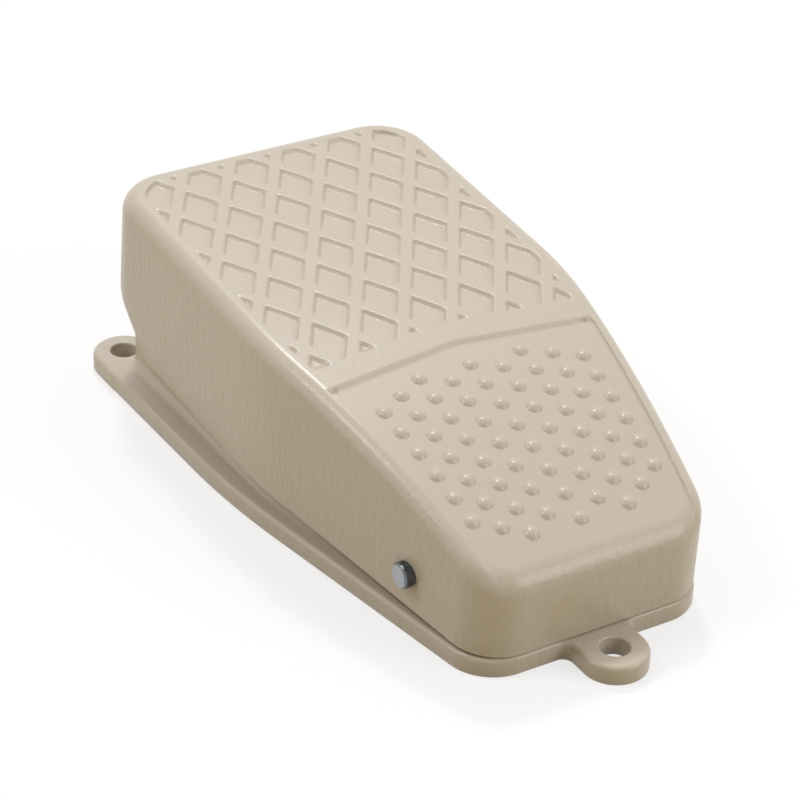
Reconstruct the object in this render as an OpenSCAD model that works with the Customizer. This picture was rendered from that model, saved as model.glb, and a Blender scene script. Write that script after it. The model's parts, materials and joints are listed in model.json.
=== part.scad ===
// Industrial foot switch: a die-cast treadle on a hinge pin over a die-cast base that
// holds a snap-action switch, its lever, a return spring and a screwed cable inlet.
// Frame: X to the right, Y towards the wide toe end, Z up. The base stands on Z = 0.
// The treadle is drawn closed, level with the base, and is then lifted about its pin.

/* [Mounting ears] */
// Diameter of the mounting holes
hole_d = 7; // [5:0.1:8]
// Distance along Y from the heel hole to the two toe holes
hole_pitch_y = 167.6; // [166:0.1:180]
// Distance along X between the two toe holes
hole_pitch_x = 78.8; // [76:0.1:84]
// Outer radius of an ear
ear_r = 8; // [7:0.1:9]

/* [Base casting] */
// Thickness of the flange
flange_t = 5; // [4:0.1:6]
// Thickness of the floor inside the housing wall
floor_t = 4; // [3:0.1:5]
// Width of the flange where its sides bend
base_w = 92.2; // [91:0.1:96]
// Width of the flange across the toe ears
base_toe_w = 94.4; // [92:0.1:97]
// Width of the flange at its heel edge
base_heel_w = 61.4; // [60.8:0.1:66]
// Height of the housing wall above the ground
wall_top = 22; // [21.5:0.1:23]
// Thickness of the housing wall
wall_t = 3; // [2.5:0.1:3.5]
// Radius of the fillet at the foot of the housing wall
foot_r = 3.6; // [2:0.1:4.5]

/* [Treadle casting] */
// Width of the treadle over its parallel toe half
treadle_w = 86; // [84:0.1:88]
// Width of the treadle at its heel edge
treadle_heel_w = 60.5; // [58:0.1:60.8]
// Height of the closed treadle's level top
treadle_top = 45.1; // [44:0.1:48]
// Radius of the long arc that brings the top down to the heel
crown_r = 262; // [240:1:300]
// Thickness of the roof
roof_t = 3.2; // [2.8:0.1:3.5]
// Thickness of the skirt
skirt_t = 2.6; // [2.2:0.1:3]
// Gap between the skirt and the housing wall
wall_gap = 0.8; // [0.6:0.05:1.2]
// Radius of the round along the top edge
edge_r = 4.5; // [3.5:0.1:5]
// Height of the closed skirt's lower edge
skirt_z = 7; // [6.95:0.05:7.5]
// Height of the closed toe wall's lower edge, over the cable inlet
toe_wall_z = 17.8; // [17.4:0.1:20]

/* [Tread pattern] */
// Distance across X between neighbouring rows of diamond pockets
diamond_dx = 6.7; // [5.5:0.1:8]
// Distance along Y between neighbouring rows of diamond pockets
diamond_dy = 10.82; // [9:0.1:13]
// Share of each diamond's cell that the pocket takes
pocket_share = 0.73; // [0.6:0.01:0.8]
// Depth of the pockets
pocket_depth = 0.9; // [0.5:0.1:1.2]
// Depth of the heel panel below the tread
panel_depth = 0.7; // [0.4:0.1:1]
// Diameter of a stud on the heel panel
stud_d = 4; // [3:0.1:5]
// Height of a stud
stud_h = 1.15; // [0.8:0.05:1.5]
// Spacing of the studs
stud_pitch = 6.9; // [6:0.1:7.5]

/* [Hinge and travel] */
// Diameter of the hinge pin
pin_d = 6; // [5:0.1:6.5]
// Diameter of the hinge pin's head
head_d = 7; // [6.8:0.1:8]
// Length of the hinge pin's head
head_l = 2.2; // [1.6:0.1:3]
// Height of the hinge pin
hinge_z = 16; // [15:0.1:17]
// Angle by which the spring lifts the treadle, in degrees
rest_lift = 3.9; // [3:0.1:4.2]
// Running clearance on radius in the bushes, the plunger guide and the lever eye
run_c = 0.06; // [0.03:0.01:0.1]

/* [Return spring] */
// Wire diameter
wire_d = 1.6; // [1.4:0.1:2]
// Mean coil diameter
coil_d = 16; // [14:0.1:18]
// Number of turns
coil_n = 7; // [5:1:9]

/* [Switch] */
// Length of the switch case
case_l = 49; // [48:0.1:52]
// Width of the switch case
case_w = 17.4; // [16:0.1:19]
// Height of the switch case
case_h = 16; // [15:0.1:17]
// Height of the case's underside above the ground
case_z = 9; // [8:0.1:9.5]
// Wall of the switch case
case_t = 1.8; // [1.5:0.1:2.2]
// Distance between the two through screws
screw_pitch = 25.4; // [24:0.1:27]
// Diameter of the switch and bracket screws
screw_d = 4; // [3:0.1:4.2]

/* [Cable inlet] */
// Bore for the cable
cable_d = 7.5; // [6:0.1:8]
// Height of the inlet's axis
inlet_z = 9.5; // [9.2:0.1:10]
// Width across the flats of the gland screw
gland_af = 14; // [13:0.1:14.5]

/* [Hidden] */
$fn = 48;

beige = "#cdbfab";
steel = "#c4c8cc";
brass = "#c9a255";
black = "#26262a";

// Places that follow from the driving sizes
hole_y = hole_pitch_y / 2;
toe_hole_x = hole_pitch_x / 2;
heel_edge_y = -76.8;
toe_edge_y = 81;
hinge_y = -51;
treadle_heel_y = -77.2;
treadle_toe_y = 87.6;
crown_y = 17;
side_slope = 0.154;
base_bend_y = 14.3;
draft = 0.4;
wall_in = skirt_t + wall_gap;
wall_toe_y = 80;
wall_toe_r = 8;
cut_y = 62.8;
cut_run = 15;
spring_y = 52;
spring_seat_z = floor_t + 2;
lever_y = -30;
lever_z = case_z + case_h + 1.6;
plunger_y = lever_y + 12;
lever_up = 6.3;
lever_t = 0.8;
lever_l = 52;
actuator_in = 8;
actuator_y = lever_y + lever_l - actuator_in;
case_y = lever_y - 6;
blade_y = case_y + 6;
blade_z = case_z + 8;
inlet_boss_y = 84;
open_gap = 0.3;
heel_foot_r = 1.5;

// ---- outlines: each corner is [vertex, outward normals of its two edges, radius, steps]
function unit(v) = v / norm(v);
function side_normal(a, b) = let (d = unit(b - a)) [d[1], -d[0]];
function corner(v, n1, n2, r, k) =
  [v - r * (n1 + n2) / (1 + n1 * n2), atan2(n1[1], n1[0]), atan2(n2[1], n2[0]), r, k];
function arc(c, inset) =
  [for (i = [0:c[4]]) let (a = c[1] + (c[2] - c[1]) * i / c[4])
    c[0] + (c[3] - inset) * [cos(a), sin(a)]];
function between(a, b, steps) = [for (i = [1:steps - 1]) a + (b - a) * i / steps];

// Corners of a half outline: heel edge, bend in the side, toe edge
function corners(heel_y, heel_w, bend, toe, r_heel, r_bend, r_toe) =
  let (v1 = [heel_w / 2, heel_y], n0 = [0, -1], n1 = side_normal(v1, bend),
       n2 = side_normal(bend, toe), n3 = [0, 1])
  [corner(v1, n0, n1, r_heel, 7), corner(bend, n1, n2, r_bend, 4),
   corner(toe, n2, n3, r_toe, 7)];
function half(cs, inset) =
  let (a = arc(cs[0], inset), b = arc(cs[1], inset), c = arc(cs[2], inset))
  concat(a, between(a[len(a) - 1], b[0], 11), b, between(b[len(b) - 1], c[0], 4), c);
function mirrored(h) = [for (i = [len(h) - 1:-1:0]) [-h[i][0], h[i][1]]];
function outline(cs, inset) = let (h = half(cs, inset)) concat(h, mirrored(h));

bend_y = (treadle_w - treadle_heel_w) / 2 / side_slope + treadle_heel_y;
treadle_corners = corners(treadle_heel_y, treadle_heel_w, [treadle_w / 2, bend_y],
  [treadle_w / 2, treadle_toe_y], 12, 150, 14);
wall_corners = corners(treadle_heel_y, treadle_heel_w, [treadle_w / 2, bend_y],
  [treadle_w / 2, wall_toe_y + wall_in], 12, 150, wall_toe_r);
base_corners = corners(heel_edge_y, base_heel_w, [base_w / 2, base_bend_y],
  [base_toe_w / 2, toe_edge_y], 12, 250, 6);

// Height of the closed treadle's top at a place along Y
function crown(y) = y > crown_y ? treadle_top
  : treadle_top - crown_r + sqrt(crown_r * crown_r - (crown_y - y) * (crown_y - y));
// Half width of the treadle at a place along Y, on its tapered side
function taper_x(y) = treadle_w / 2
  - (bend_y - y) * (treadle_w - treadle_heel_w) / 2 / (bend_y - treadle_heel_y);

// Solid through a stack of rings; each ring is a closed list of points with 2 n members,
// the second half mirrored, so both ends close in strips across the width
module ring_solid(rings) {
  m = len(rings[0]);
  n = m / 2;
  top = len(rings) - 1;
  function id(j, i) = j * m + (i % m);
  sides = [for (j = [0:top - 1], i = [0:m - 1], f = [0, 1])
    f == 0 ? [id(j, i), id(j + 1, i + 1), id(j, i + 1)]
           : [id(j, i), id(j + 1, i), id(j + 1, i + 1)]];
  caps = [for (i = [0:n - 2], f = [0, 1], e = [0, top])
    let (r0 = id(e, i), r1 = id(e, i + 1), l1 = id(e, m - 2 - i), l0 = id(e, m - 1 - i),
         t = f == 0 ? [r0, r1, l1] : [r0, l1, l0])
    e == 0 ? t : [t[2], t[1], t[0]]];
  polyhedron([for (r = rings) each r], concat(sides, caps));
}
function flat_ring(cs, inset, z) = [for (p = outline(cs, inset)) [p[0], p[1], z]];
function crown_ring(cs, inset, drop) =
  [for (p = outline(cs, inset)) [p[0], p[1], crown(p[1]) - drop]];

// Puts a closed treadle piece into its lifted rest place
module lifted() {
  translate([0, hinge_y, hinge_z]) rotate([rest_lift, 0, 0])
    translate([0, -hinge_y, -hinge_z]) children();
}
// A side view in Y and Z, carried across X
module across(w) { rotate([90, 0, 90]) linear_extrude(w, center = true) children(); }
module rod_x(x0, x1, d) { translate([x0, 0, 0]) rotate([0, 90, 0]) cylinder(x1 - x0, d = d); }
module rod_y(y0, y1, d) { translate([0, y0, 0]) rotate([-90, 0, 0]) cylinder(y1 - y0, d = d); }
module hex(af, h) { cylinder(h, d = af / cos(30), $fn = 6); }

// ---- switch: shared values
cover_t = 1.6;
eye_r = 1.4;
lever_pin_d = 1.6;
lever_w = 7;
ear_t = 1.6;
blade_t = 0.5;
blade_w = 9.4;
button_d = 2.6;
button_h = 0.4;
button_x = 3.2;
roll_r = 0.5;
tab_c = 0.05;
end_tab_w = 5.2;
com_tab_w = 8;
end_tab_x = case_w / 2 - case_t - 0.1 - end_tab_w;
contact_y = case_y + case_l - case_t - 3.7;
end_tab_y = contact_y - button_d / 2 - 0.8;
screw_room = 4.2;
tab_t = 0.8;
no_z = blade_z - 2.7;
nc_z = blade_z + 1.25;
com_z = blade_z - roll_r - tab_t - tab_c;
plunger_d = 5;

// ---- base body
module ear(x, neck_w0, neck_w1, y_from, y_to) {
  translate([x, y_to, 0]) cylinder(flange_t, r = ear_r);
  translate([neck_w0, min(y_from, y_to), 0])
    cube([neck_w1 - neck_w0, abs(y_to - y_from), flange_t]);
}
module root_fillet(x, y, sx, sy, r = 2.4) {
  translate([x, y, 0]) difference() {
    translate([sx > 0 ? 0 : -r, sy > 0 ? 0 : -r, 0]) cube([r, r, flange_t]);
    translate([sx * r, sy * r, -1]) cylinder(flange_t + 2, r = r);
  }
}
module flange() {
  linear_extrude(flange_t) polygon(outline(base_corners, 0));
  ear(0, -ear_r, ear_r, heel_edge_y + 3, -hole_y);
  for (s = [-1, 1]) {
    root_fillet(s * ear_r, heel_edge_y, s, -1);
    ear(s * toe_hole_x, s * toe_hole_x - ear_r, s * toe_hole_x + ear_r, toe_edge_y - 8, hole_y);
    root_fillet(s * (toe_hole_x - ear_r), toe_edge_y, -s, 1);
  }
}
// Radius of the wall's foot fillet, smaller where the lifted heel comes down beside it
function foot_at(y) =
  heel_foot_r + (foot_r - heel_foot_r) * max(0, min(1, (y - treadle_heel_y - 5) / 17));
function foot_ring(a) =
  let (face = outline(wall_corners, wall_in), out = outline(wall_corners, wall_in - 1))
  [for (i = [0:len(face) - 1])
    let (r = foot_at(face[i][1]), p = face[i] + (out[i] - face[i]) * r * (1 - sin(a)))
    [p[0], p[1], flange_t + r * (1 - cos(a))]];
module housing_wall() {
  foot = [for (a = [0:15:90]) foot_ring(a)];
  difference() {
    ring_solid(concat([[for (p = foot[0]) [p[0], p[1], flange_t - 0.5]]], foot,
      [flat_ring(wall_corners, wall_in, wall_top)]));
    ring_solid([flat_ring(wall_corners, wall_in + wall_t, 0),
      flat_ring(wall_corners, wall_in + wall_t, wall_top + 1)]);
  }
}
wall_x = taper_x(hinge_y) - wall_in;
boss_d = 2 * (wall_top - hinge_z);
module pin_bosses() {
  for (s = [-1, 1]) translate([0, hinge_y, 0]) {
    translate([0, 0, hinge_z]) rod_x(s > 0 ? wall_x - 9 : 1 - wall_x, s > 0 ? wall_x - 1 : 9 - wall_x,
      boss_d);
    translate([s > 0 ? wall_x - 9 : 1 - wall_x, -boss_d / 2, floor_t - 0.5])
      cube([8, boss_d, hinge_z - floor_t + 0.5]);
  }
}
module post(x, y, d, top) { translate([x, y, floor_t - 0.5]) cylinder(top - floor_t + 0.5, d = d); }
buffer_x = 26;
buffer_y = 66;
buffer_z = 16;
buffer_h = 6;
bracket_z = floor_t + 3;
bracket_x = case_w / 2;
bracket_t = 1.5;
bracket_screw_x = bracket_x + 11.5;
screw_y = [end_tab_y - screw_room - screw_pitch, end_tab_y - screw_room];
screw_z = case_z + 3.8;
clamp_y = 69.5;
clamp_x = 10;
clamp_z = 8;
earth_x = 25;
earth_y = 30;
earth_z = 8;
boss_out_d = 15;
seal_y = wall_toe_y - wall_t + 0.5;
module base_casting() {
  color(beige) difference() {
    union() {
      flange();
      housing_wall();
      difference() {
        translate([0, 0, inlet_z]) rod_y(wall_toe_y - wall_t - 2, inlet_boss_y, boss_out_d);
        translate([-20, 60, -20]) cube([40, 40, 20]);
      }
      pin_bosses();
      post(0, spring_y, coil_d - wire_d - 2.4, spring_seat_z + 4);
      post(0, spring_y, coil_d + wire_d + 3, spring_seat_z);
      for (s = [-1, 1]) {
        post(s * buffer_x, buffer_y, 13, buffer_z);
        post(s * clamp_x, clamp_y, 8, clamp_z);
      }
      for (y = screw_y) post(bracket_screw_x, y, 9, bracket_z);
      post(earth_x, earth_y, 9, earth_z);
      translate([-3, clamp_y - 3, floor_t - 0.5]) cube([6, 6, inlet_z - cable_d / 2 - floor_t + 0.4]);
    }
    translate([0, -hole_y, -1]) cylinder(flange_t + 2, d = hole_d);
    for (s = [-1, 1]) translate([s * toe_hole_x, hole_y, -1]) cylinder(flange_t + 2, d = hole_d);
    translate([0, hinge_y, hinge_z]) rod_x(-wall_x - 1, wall_x + 1, pin_d + 0.02);
    translate([0, 0, inlet_z]) rod_y(seal_y, inlet_boss_y + 1, 11.04);
    translate([0, 0, inlet_z]) rod_y(wall_toe_y - wall_t - 3, seal_y + 1, 9);
    for (y = screw_y) translate([bracket_screw_x, y, 1]) cylinder(20, d = screw_d);
    for (s = [-1, 1]) translate([s * clamp_x, clamp_y, 1]) cylinder(20, d = screw_d);
    translate([earth_x, earth_y, 1]) cylinder(20, d = screw_d);
  }
}

head_x = taper_x(hinge_y) + draft + head_d / 2 * side_slope + 0.1;
clip_d = 11;
clip_t = 0.8;
clip_x = taper_x(hinge_y) + draft + clip_d / 2 * side_slope + 0.1;
pin_end = clip_x + clip_t + 0.9;
module hinge_pin() {
  color(steel) translate([0, hinge_y, hinge_z]) difference() {
    union() {
      rod_x(-head_x, pin_end - 0.5, pin_d);
      translate([pin_end - 0.5, 0, 0]) rotate([0, 90, 0]) cylinder(0.5, d1 = pin_d, d2 = pin_d - 1);
      rod_x(0.4 - head_x - head_l, -head_x, head_d);
      translate([0.4 - head_x - head_l, 0, 0]) rotate([0, -90, 0])
        cylinder(0.4, d1 = head_d, d2 = head_d - 0.8);
    }
    difference() {
      rod_x(clip_x - 0.05, clip_x + clip_t + 0.05, pin_d + 2);
      rod_x(clip_x - 1, clip_x + clip_t + 1, pin_d - 1);
    }
  }
}
module pin_clip() {
  color(steel) translate([clip_x, hinge_y, hinge_z]) rotate([0, 90, 0]) difference() {
    cylinder(clip_t, d = clip_d);
    translate([0, 0, -1]) cylinder(clip_t + 2, d = pin_d - 0.9);
    translate([0, -(pin_d - 1.6) / 2, -1]) cube([clip_d, pin_d - 1.6, clip_t + 2]);
    for (s = [-1, 1]) translate([-1.4, s * (pin_d / 2 + 0.3), -1]) cylinder(clip_t + 2, d = 2);
  }
}

// Height of the lifted roof's underside at a place along Y
function ceiling_z(y) = hinge_z + (y - hinge_y) * tan(rest_lift)
  + (treadle_top - roof_t - hinge_z) / cos(rest_lift);
spring_low = spring_seat_z + wire_d / 2;
spring_high = ceiling_z(spring_y - (coil_d + wire_d) / 2) - open_gap - wire_d / 2;
// Height of the wire's centre line after t turns: closed coils at both ends
function coil_z(t) = t < 1 ? spring_low + wire_d * t
  : t > coil_n - 1 ? spring_high - wire_d * (coil_n - t)
  : spring_low + wire_d + (spring_high - spring_low - 2 * wire_d) * (t - 1) / (coil_n - 2);
module return_spring() {
  sides = 8;
  steps = 22 * coil_n;
  r = coil_d / 2;
  function ring(i) = let (t = i * coil_n / steps, a = 360 * t)
    [for (k = [0:sides - 1]) let (b = 360 * k / sides, q = r + wire_d / 2 * cos(b))
      [q * cos(a), spring_y + q * sin(a), coil_z(t) + wire_d / 2 * sin(b)]];
  color(steel) polyhedron(
    [for (i = [0:steps]) each ring(i)],
    concat([[for (k = [0:sides - 1]) k]],
      [for (i = [0:steps - 1], k = [0:sides - 1], f = [0, 1])
        let (k2 = (k + 1) % sides, a = i * sides, b = a + sides)
        f == 0 ? [a + k, b + k2, a + k2] : [a + k, b + k, b + k2]],
      [[for (k = [sides - 1:-1:0]) steps * sides + k]]));
}
module stop_buffers() {
  color(black) for (s = [-1, 1]) translate([s * buffer_x, buffer_y, buffer_z]) {
    cylinder(buffer_h - 1, d = 11);
    translate([0, 0, buffer_h - 1]) cylinder(1, d1 = 11, d2 = 9);
  }
}

// ---- snap-action switch
module case_ears() {
  for (s = [-1, 1]) translate([s * (lever_w / 2 + 0.3 + ear_t / 2) - ear_t / 2, lever_y - 2, 0])
    translate([0, 0, case_z + case_h - 0.5]) cube([ear_t, 4, lever_z + 1.8 - case_z - case_h + 0.5]);
}
module switch_case() {
  color("#5a2d20") difference() {
    union() {
      difference() {
        translate([cover_t - case_w / 2, case_y, case_z]) cube([case_w - cover_t, case_l, case_h]);
        translate([-case_w, case_y + case_t, case_z + case_t])
          cube([1.5 * case_w - case_t, case_l - 2 * case_t, case_h - 2 * case_t]);
      }
      for (y = screw_y) translate([0, y, screw_z]) rod_x(cover_t - case_w / 2, case_w / 2, 6.6);
      case_ears();
    }
    for (y = screw_y) translate([0, y, screw_z]) rod_x(-case_w, case_w, screw_d + 0.3);
    translate([0, plunger_y, case_z]) cylinder(2 * case_h, d = plunger_d + 2 * run_c);
    translate([0, lever_y, lever_z]) rod_x(-case_w, case_w, lever_pin_d + 0.02);
    for (t = [[-com_tab_w / 2, case_y, com_z, com_tab_w],
        [-end_tab_x - end_tab_w, case_y + case_l, no_z, end_tab_w],
        [end_tab_x, case_y + case_l, nc_z, end_tab_w]])
      translate([t[0] - tab_c, t[1] - case_t - 1, t[2] - tab_c])
        cube([t[3] + 2 * tab_c, 2 * case_t + 2, tab_t + 2 * tab_c]);
  }
}
module switch_cover() {
  color("#6b3626") difference() {
    translate([-case_w / 2, case_y, case_z]) cube([cover_t - 0.02, case_l, case_h]);
    for (y = screw_y) translate([0, y, screw_z]) rod_x(-case_w, case_w, screw_d + 0.3);
  }
}
tab_out = 8;
tab_screw_d = 3;
module terminal(x, w, y0, y1, z, screw_y0) {
  color(brass) difference() {
    translate([x, y0, z]) cube([w, y1 - y0, tab_t]);
    translate([x + w / 2, screw_y0, z - 1]) cylinder(tab_t + 2, d = tab_screw_d);
  }
}
com_screw_y = case_y - tab_out + 3.2;
end_screw_y = case_y + case_l + tab_out - 3.2;
module terminal_common() {
  terminal(-com_tab_w / 2, com_tab_w, case_y - tab_out, blade_y, com_z, com_screw_y);
}
module terminal_no() {
  terminal(-end_tab_x - end_tab_w, end_tab_w, end_tab_y, case_y + case_l + tab_out, no_z, end_screw_y);
  color(brass) translate([-button_x, contact_y, no_z + tab_t]) cylinder(button_h, d = button_d);
}
module terminal_nc() {
  terminal(end_tab_x, end_tab_w, end_tab_y, case_y + case_l + tab_out, nc_z, end_screw_y);
  color(brass) translate([button_x, contact_y, nc_z - button_h]) cylinder(button_h, d = button_d);
}
module pan_screw(d, l, head, slot = 0.8) {
  difference() {
    union() {
      translate([0, 0, -l]) cylinder(l, d = d);
      cylinder(0.4 * head, d1 = head, d2 = 0.8 * head);
    }
    translate([-head, -slot / 2, 0.22 * head]) cube([2 * head, slot, head]);
  }
}
module terminal_screws() {
  color(steel) {
    translate([0, com_screw_y, com_z + tab_t]) pan_screw(tab_screw_d - 0.02, 3, 5.6);
    for (t = [[-1, no_z], [1, nc_z]])
      translate([t[0] * (end_tab_x + end_tab_w / 2), end_screw_y, t[1] + tab_t])
        pan_screw(tab_screw_d - 0.02, 3, 5);
  }
}
module switch_bracket() {
  y0 = screw_y[0] - 7;
  y1 = screw_y[1] + 7;
  color(steel) difference() {
    union() {
      translate([bracket_x, y0, bracket_z]) cube([bracket_t, y1 - y0, case_z + case_h - 3 - bracket_z]);
      translate([bracket_x, y0, bracket_z]) cube([17.5, y1 - y0, bracket_t]);
    }
    for (y = screw_y) {
      translate([0, y, screw_z]) rod_x(0, 2 * case_w, screw_d + 0.3);
      translate([bracket_screw_x, y, 0]) cylinder(20, d = screw_d + 0.4);
    }
    translate([bracket_x + 6, (y0 + y1) / 2 - 5, 0]) cube([20, 10, 20]);
  }
}
nut_h = 3.2;
module switch_screws() {
  color(steel) for (y = screw_y) translate([-case_w / 2, y, screw_z]) rotate([0, -90, 0])
    pan_screw(screw_d, case_w + bracket_t + nut_h + 1, 7.4, 1);
}
module switch_nuts() {
  color(steel) for (y = screw_y) translate([bracket_x + bracket_t, y, screw_z]) rotate([0, 90, 0])
    difference() {
      hex(7, nut_h);
      translate([0, 0, -1]) cylinder(nut_h + 2, d = screw_d + 0.02);
    }
}
module bracket_screws() {
  color(steel) for (y = screw_y) translate([bracket_screw_x, y, bracket_z + bracket_t])
    pan_screw(screw_d - 0.02, bracket_z - 1, 7.4, 1);
}
module lever_pin() {
  color(steel) translate([0, lever_y, lever_z]) {
    rod_x(-lever_w / 2 - 0.3 - ear_t - 0.6, lever_w / 2 + 0.3 + ear_t + 0.6, lever_pin_d);
  }
}

// ---- cable inlet, cord clamp and earth terminal
seal_l = 3;
washer_t = 1;
gland_y = seal_y + seal_l + washer_t;
module ring_y(y0, y1, d, bore) {
  translate([0, 0, inlet_z]) difference() {
    rod_y(y0, y1, d);
    rod_y(y0 - 1, y1 + 1, bore);
  }
}
module gland_seal() { color(black) ring_y(seal_y, seal_y + seal_l, 11, cable_d); }
module gland_washer() { color(steel) ring_y(seal_y + seal_l, gland_y, 10.9, cable_d + 0.4); }
module gland_screw() {
  color(steel) difference() {
    union() {
      translate([0, 0, inlet_z]) rod_y(gland_y, inlet_boss_y + 1, 11);
      translate([0, inlet_boss_y + 0.1, inlet_z]) rotate([-90, 0, 0]) rotate(30) intersection() {
        hex(gland_af, 4.4);
        cylinder(4.4, d1 = gland_af + 3, d2 = gland_af - 0.4);
      }
    }
    translate([0, 0, inlet_z]) rod_y(gland_y - 1, inlet_boss_y + 6, cable_d);
  }
}
strap_t = 1.5;
strap_w = 8;
module cord_clamp() {
  rise = inlet_z - clamp_z;
  color(steel) translate([0, clamp_y - strap_w / 2, clamp_z]) difference() {
    union() {
      translate([-clamp_x - 4.5, 0, 0]) cube([2 * clamp_x + 9, strap_w, strap_t]);
      translate([0, 0, rise]) rod_y(0, strap_w, cable_d + 2 * strap_t);
    }
    translate([0, 0, rise]) rod_y(-1, strap_w + 1, cable_d);
    translate([-cable_d, -1, -20]) cube([2 * cable_d, strap_w + 2, 20]);
    translate([-cable_d / 2, -1, -1]) cube([cable_d, strap_w + 2, rise + 1]);
    for (s = [-1, 1]) translate([s * clamp_x, strap_w / 2, -1]) cylinder(9, d = screw_d + 0.4);
  }
}
module clamp_screws() {
  color(steel) for (s = [-1, 1]) translate([s * clamp_x, clamp_y, clamp_z + strap_t])
    pan_screw(screw_d - 0.02, clamp_z - 1, 7.2, 1);
}
module earth_washer() {
  color(brass) translate([earth_x, earth_y, earth_z]) difference() {
    cylinder(1, d = 9);
    translate([0, 0, -1]) cylinder(3, d = screw_d + 0.3);
  }
}
module earth_screw() {
  color(brass) translate([earth_x, earth_y, earth_z + 1]) pan_screw(screw_d - 0.02, earth_z - 1, 7.4, 1);
}

// ---- treadle body, drawn closed and then lifted
round_steps = [0:15:90];
chevron_y = -10.5;
chevron_slope = 0.118;
rim_w = 3.9;
pocket_margin = 5.8;
chevron_margin = 8;
stud_y = -18.1;
stud_fan = 0.005;
stud_cols = 4;

// Everything above the top surface lowered by a depth
module above_crown(depth) {
  across(treadle_w) polygon(concat(
    [for (i = [0:20]) let (y = -90 + (crown_y + 90) * i / 20) [y, crown(y) - depth]],
    [[95, treadle_top - depth], [95, treadle_top + 20], [-90, treadle_top + 20]]));
}
module panel() {
  side = function(y) taper_x(y) - rim_w;
  end_y = chevron_y - chevron_slope * side(chevron_y - 4);
  intersection() {
    linear_extrude(80) polygon([[0, chevron_y], [side(end_y), end_y], [side(-85), -85],
      [-side(-85), -85], [-side(end_y), end_y]]);
    above_crown(panel_depth);
  }
}
module diamond(x, y) {
  a = diamond_dx * pocket_share;
  b = diamond_dy * pocket_share;
  translate([x, y, 0]) linear_extrude(80) polygon([[a, 0], [0, b], [-a, 0], [0, -b]]);
}
module pockets() {
  cols = floor(treadle_w / 2 / diamond_dx);
  rows = ceil(treadle_toe_y / diamond_dy);
  zone_y = chevron_y + chevron_margin;
  intersection() {
    for (i = [-cols:cols], j = [-2:rows]) if ((i + j) % 2 == 0)
      diamond(i * diamond_dx, 1.3 + j * diamond_dy);
    linear_extrude(80) polygon([for (p = outline(treadle_corners, pocket_margin))
      [p[0], max(p[1], zone_y - chevron_slope * abs(p[0]))]]);
    above_crown(pocket_depth);
  }
}
module studs() {
  base_r = stud_d / 2;
  r = (base_r * base_r + stud_h * stud_h) / (2 * stud_h);
  for (c = [-stud_cols:stud_cols], k = [0:7]) {
    edge = abs(c) == stud_cols;
    row = k + (c % 2 == 0 ? 0 : 0.5);
    if (edge ? (k >= 1 && k <= 6) : row <= 7) {
      y = stud_y - stud_pitch * row;
      slope = asin((crown_y - y) / crown_r);
      translate([c * stud_pitch * (1 - stud_fan * abs(c) * row), y, crown(y) - panel_depth])
        rotate([slope, 0, 0]) difference() {
          translate([0, 0, stud_h - r]) sphere(r);
          translate([-r, -r, -2 * r - 0.6]) cube([2 * r, 2 * r, 2 * r]);
        }
    }
  }
}
cup_shift = (ceiling_z(spring_y) - hinge_z) * sin(rest_lift) / 2;
function closed_y(y, z) = hinge_y + (y - hinge_y) * cos(rest_lift) + (z - hinge_z) * sin(rest_lift);
function closed_z(y, z) = hinge_z - (y - hinge_y) * sin(rest_lift) + (z - hinge_z) * cos(rest_lift);
roof_z = treadle_top - roof_t;
cup_y = closed_y(spring_y - cup_shift, ceiling_z(spring_y));
tip_rest_z = lever_z + (actuator_y - lever_y) * tan(lever_up) + lever_t / 2 / cos(lever_up) + open_gap;
tip_y = closed_y(actuator_y, tip_rest_z);
tip_z = closed_z(actuator_y, tip_rest_z);
thread_d = 5;
nut_t = 4;
boss_l = 6;
module treadle_shell() {
  difference() {
    ring_solid(concat([flat_ring(treadle_corners, -draft, skirt_z)],
      [for (a = round_steps) crown_ring(treadle_corners, edge_r * (1 - cos(a)), edge_r * (1 - sin(a)))]));
    ring_solid([flat_ring(treadle_corners, skirt_t - 2 * draft, skirt_z - 10),
      crown_ring(treadle_corners, skirt_t, roof_t + 2.4),
      crown_ring(treadle_corners, skirt_t + 0.7, roof_t + 0.7),
      crown_ring(treadle_corners, skirt_t + 2.4, roof_t)]);
    across(2 * treadle_w) polygon([[cut_y, skirt_z - 12], [cut_y, skirt_z],
      [cut_y + cut_run, toe_wall_z], [100, toe_wall_z], [100, skirt_z - 12]]);
    panel();
    pockets();
  }
}
module treadle_casting() {
  color(beige) lifted() difference() {
    union() {
      treadle_shell();
      studs();
      translate([0, cup_y, roof_z - 4]) difference() {
        cylinder(4.5, d = coil_d + wire_d + 7.4);
        translate([0, 0, -1]) cylinder(5, d = coil_d + wire_d + 3.4);
      }
      for (s = [-1, 1]) translate([s * buffer_x, buffer_y + 1.8, buffer_z + buffer_h + 0.5])
        cylinder(roof_z - buffer_z - buffer_h, d1 = 7, d2 = 9);
      translate([0, tip_y, roof_z - boss_l]) cylinder(boss_l + 0.5, d = 12);
    }
    translate([0, hinge_y, hinge_z]) rod_x(-treadle_w, treadle_w, pin_d + 2 * run_c);
    translate([0, tip_y, roof_z - boss_l - 1]) cylinder(boss_l + 1, d = thread_d + 0.02);
  }
}
module adjusting_screw() {
  color(steel) lifted() translate([0, tip_y, tip_z]) difference() {
    union() {
      intersection() {
        translate([0, 0, 3]) sphere(3);
        cylinder(3, d = thread_d);
      }
      translate([0, 0, 2.5]) cylinder(roof_z - 0.6 - tip_z - 2.5, d = thread_d);
    }
    translate([-thread_d, -0.4, roof_z - 2 - tip_z]) cube([2 * thread_d, 0.8, 3]);
  }
}
module adjusting_nut() {
  color(steel) lifted() translate([0, tip_y, roof_z - boss_l - nut_t]) difference() {
    hex(8, nut_t);
    translate([0, 0, -1]) cylinder(nut_t + 2, d = thread_d + 0.02);
  }
}

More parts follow.
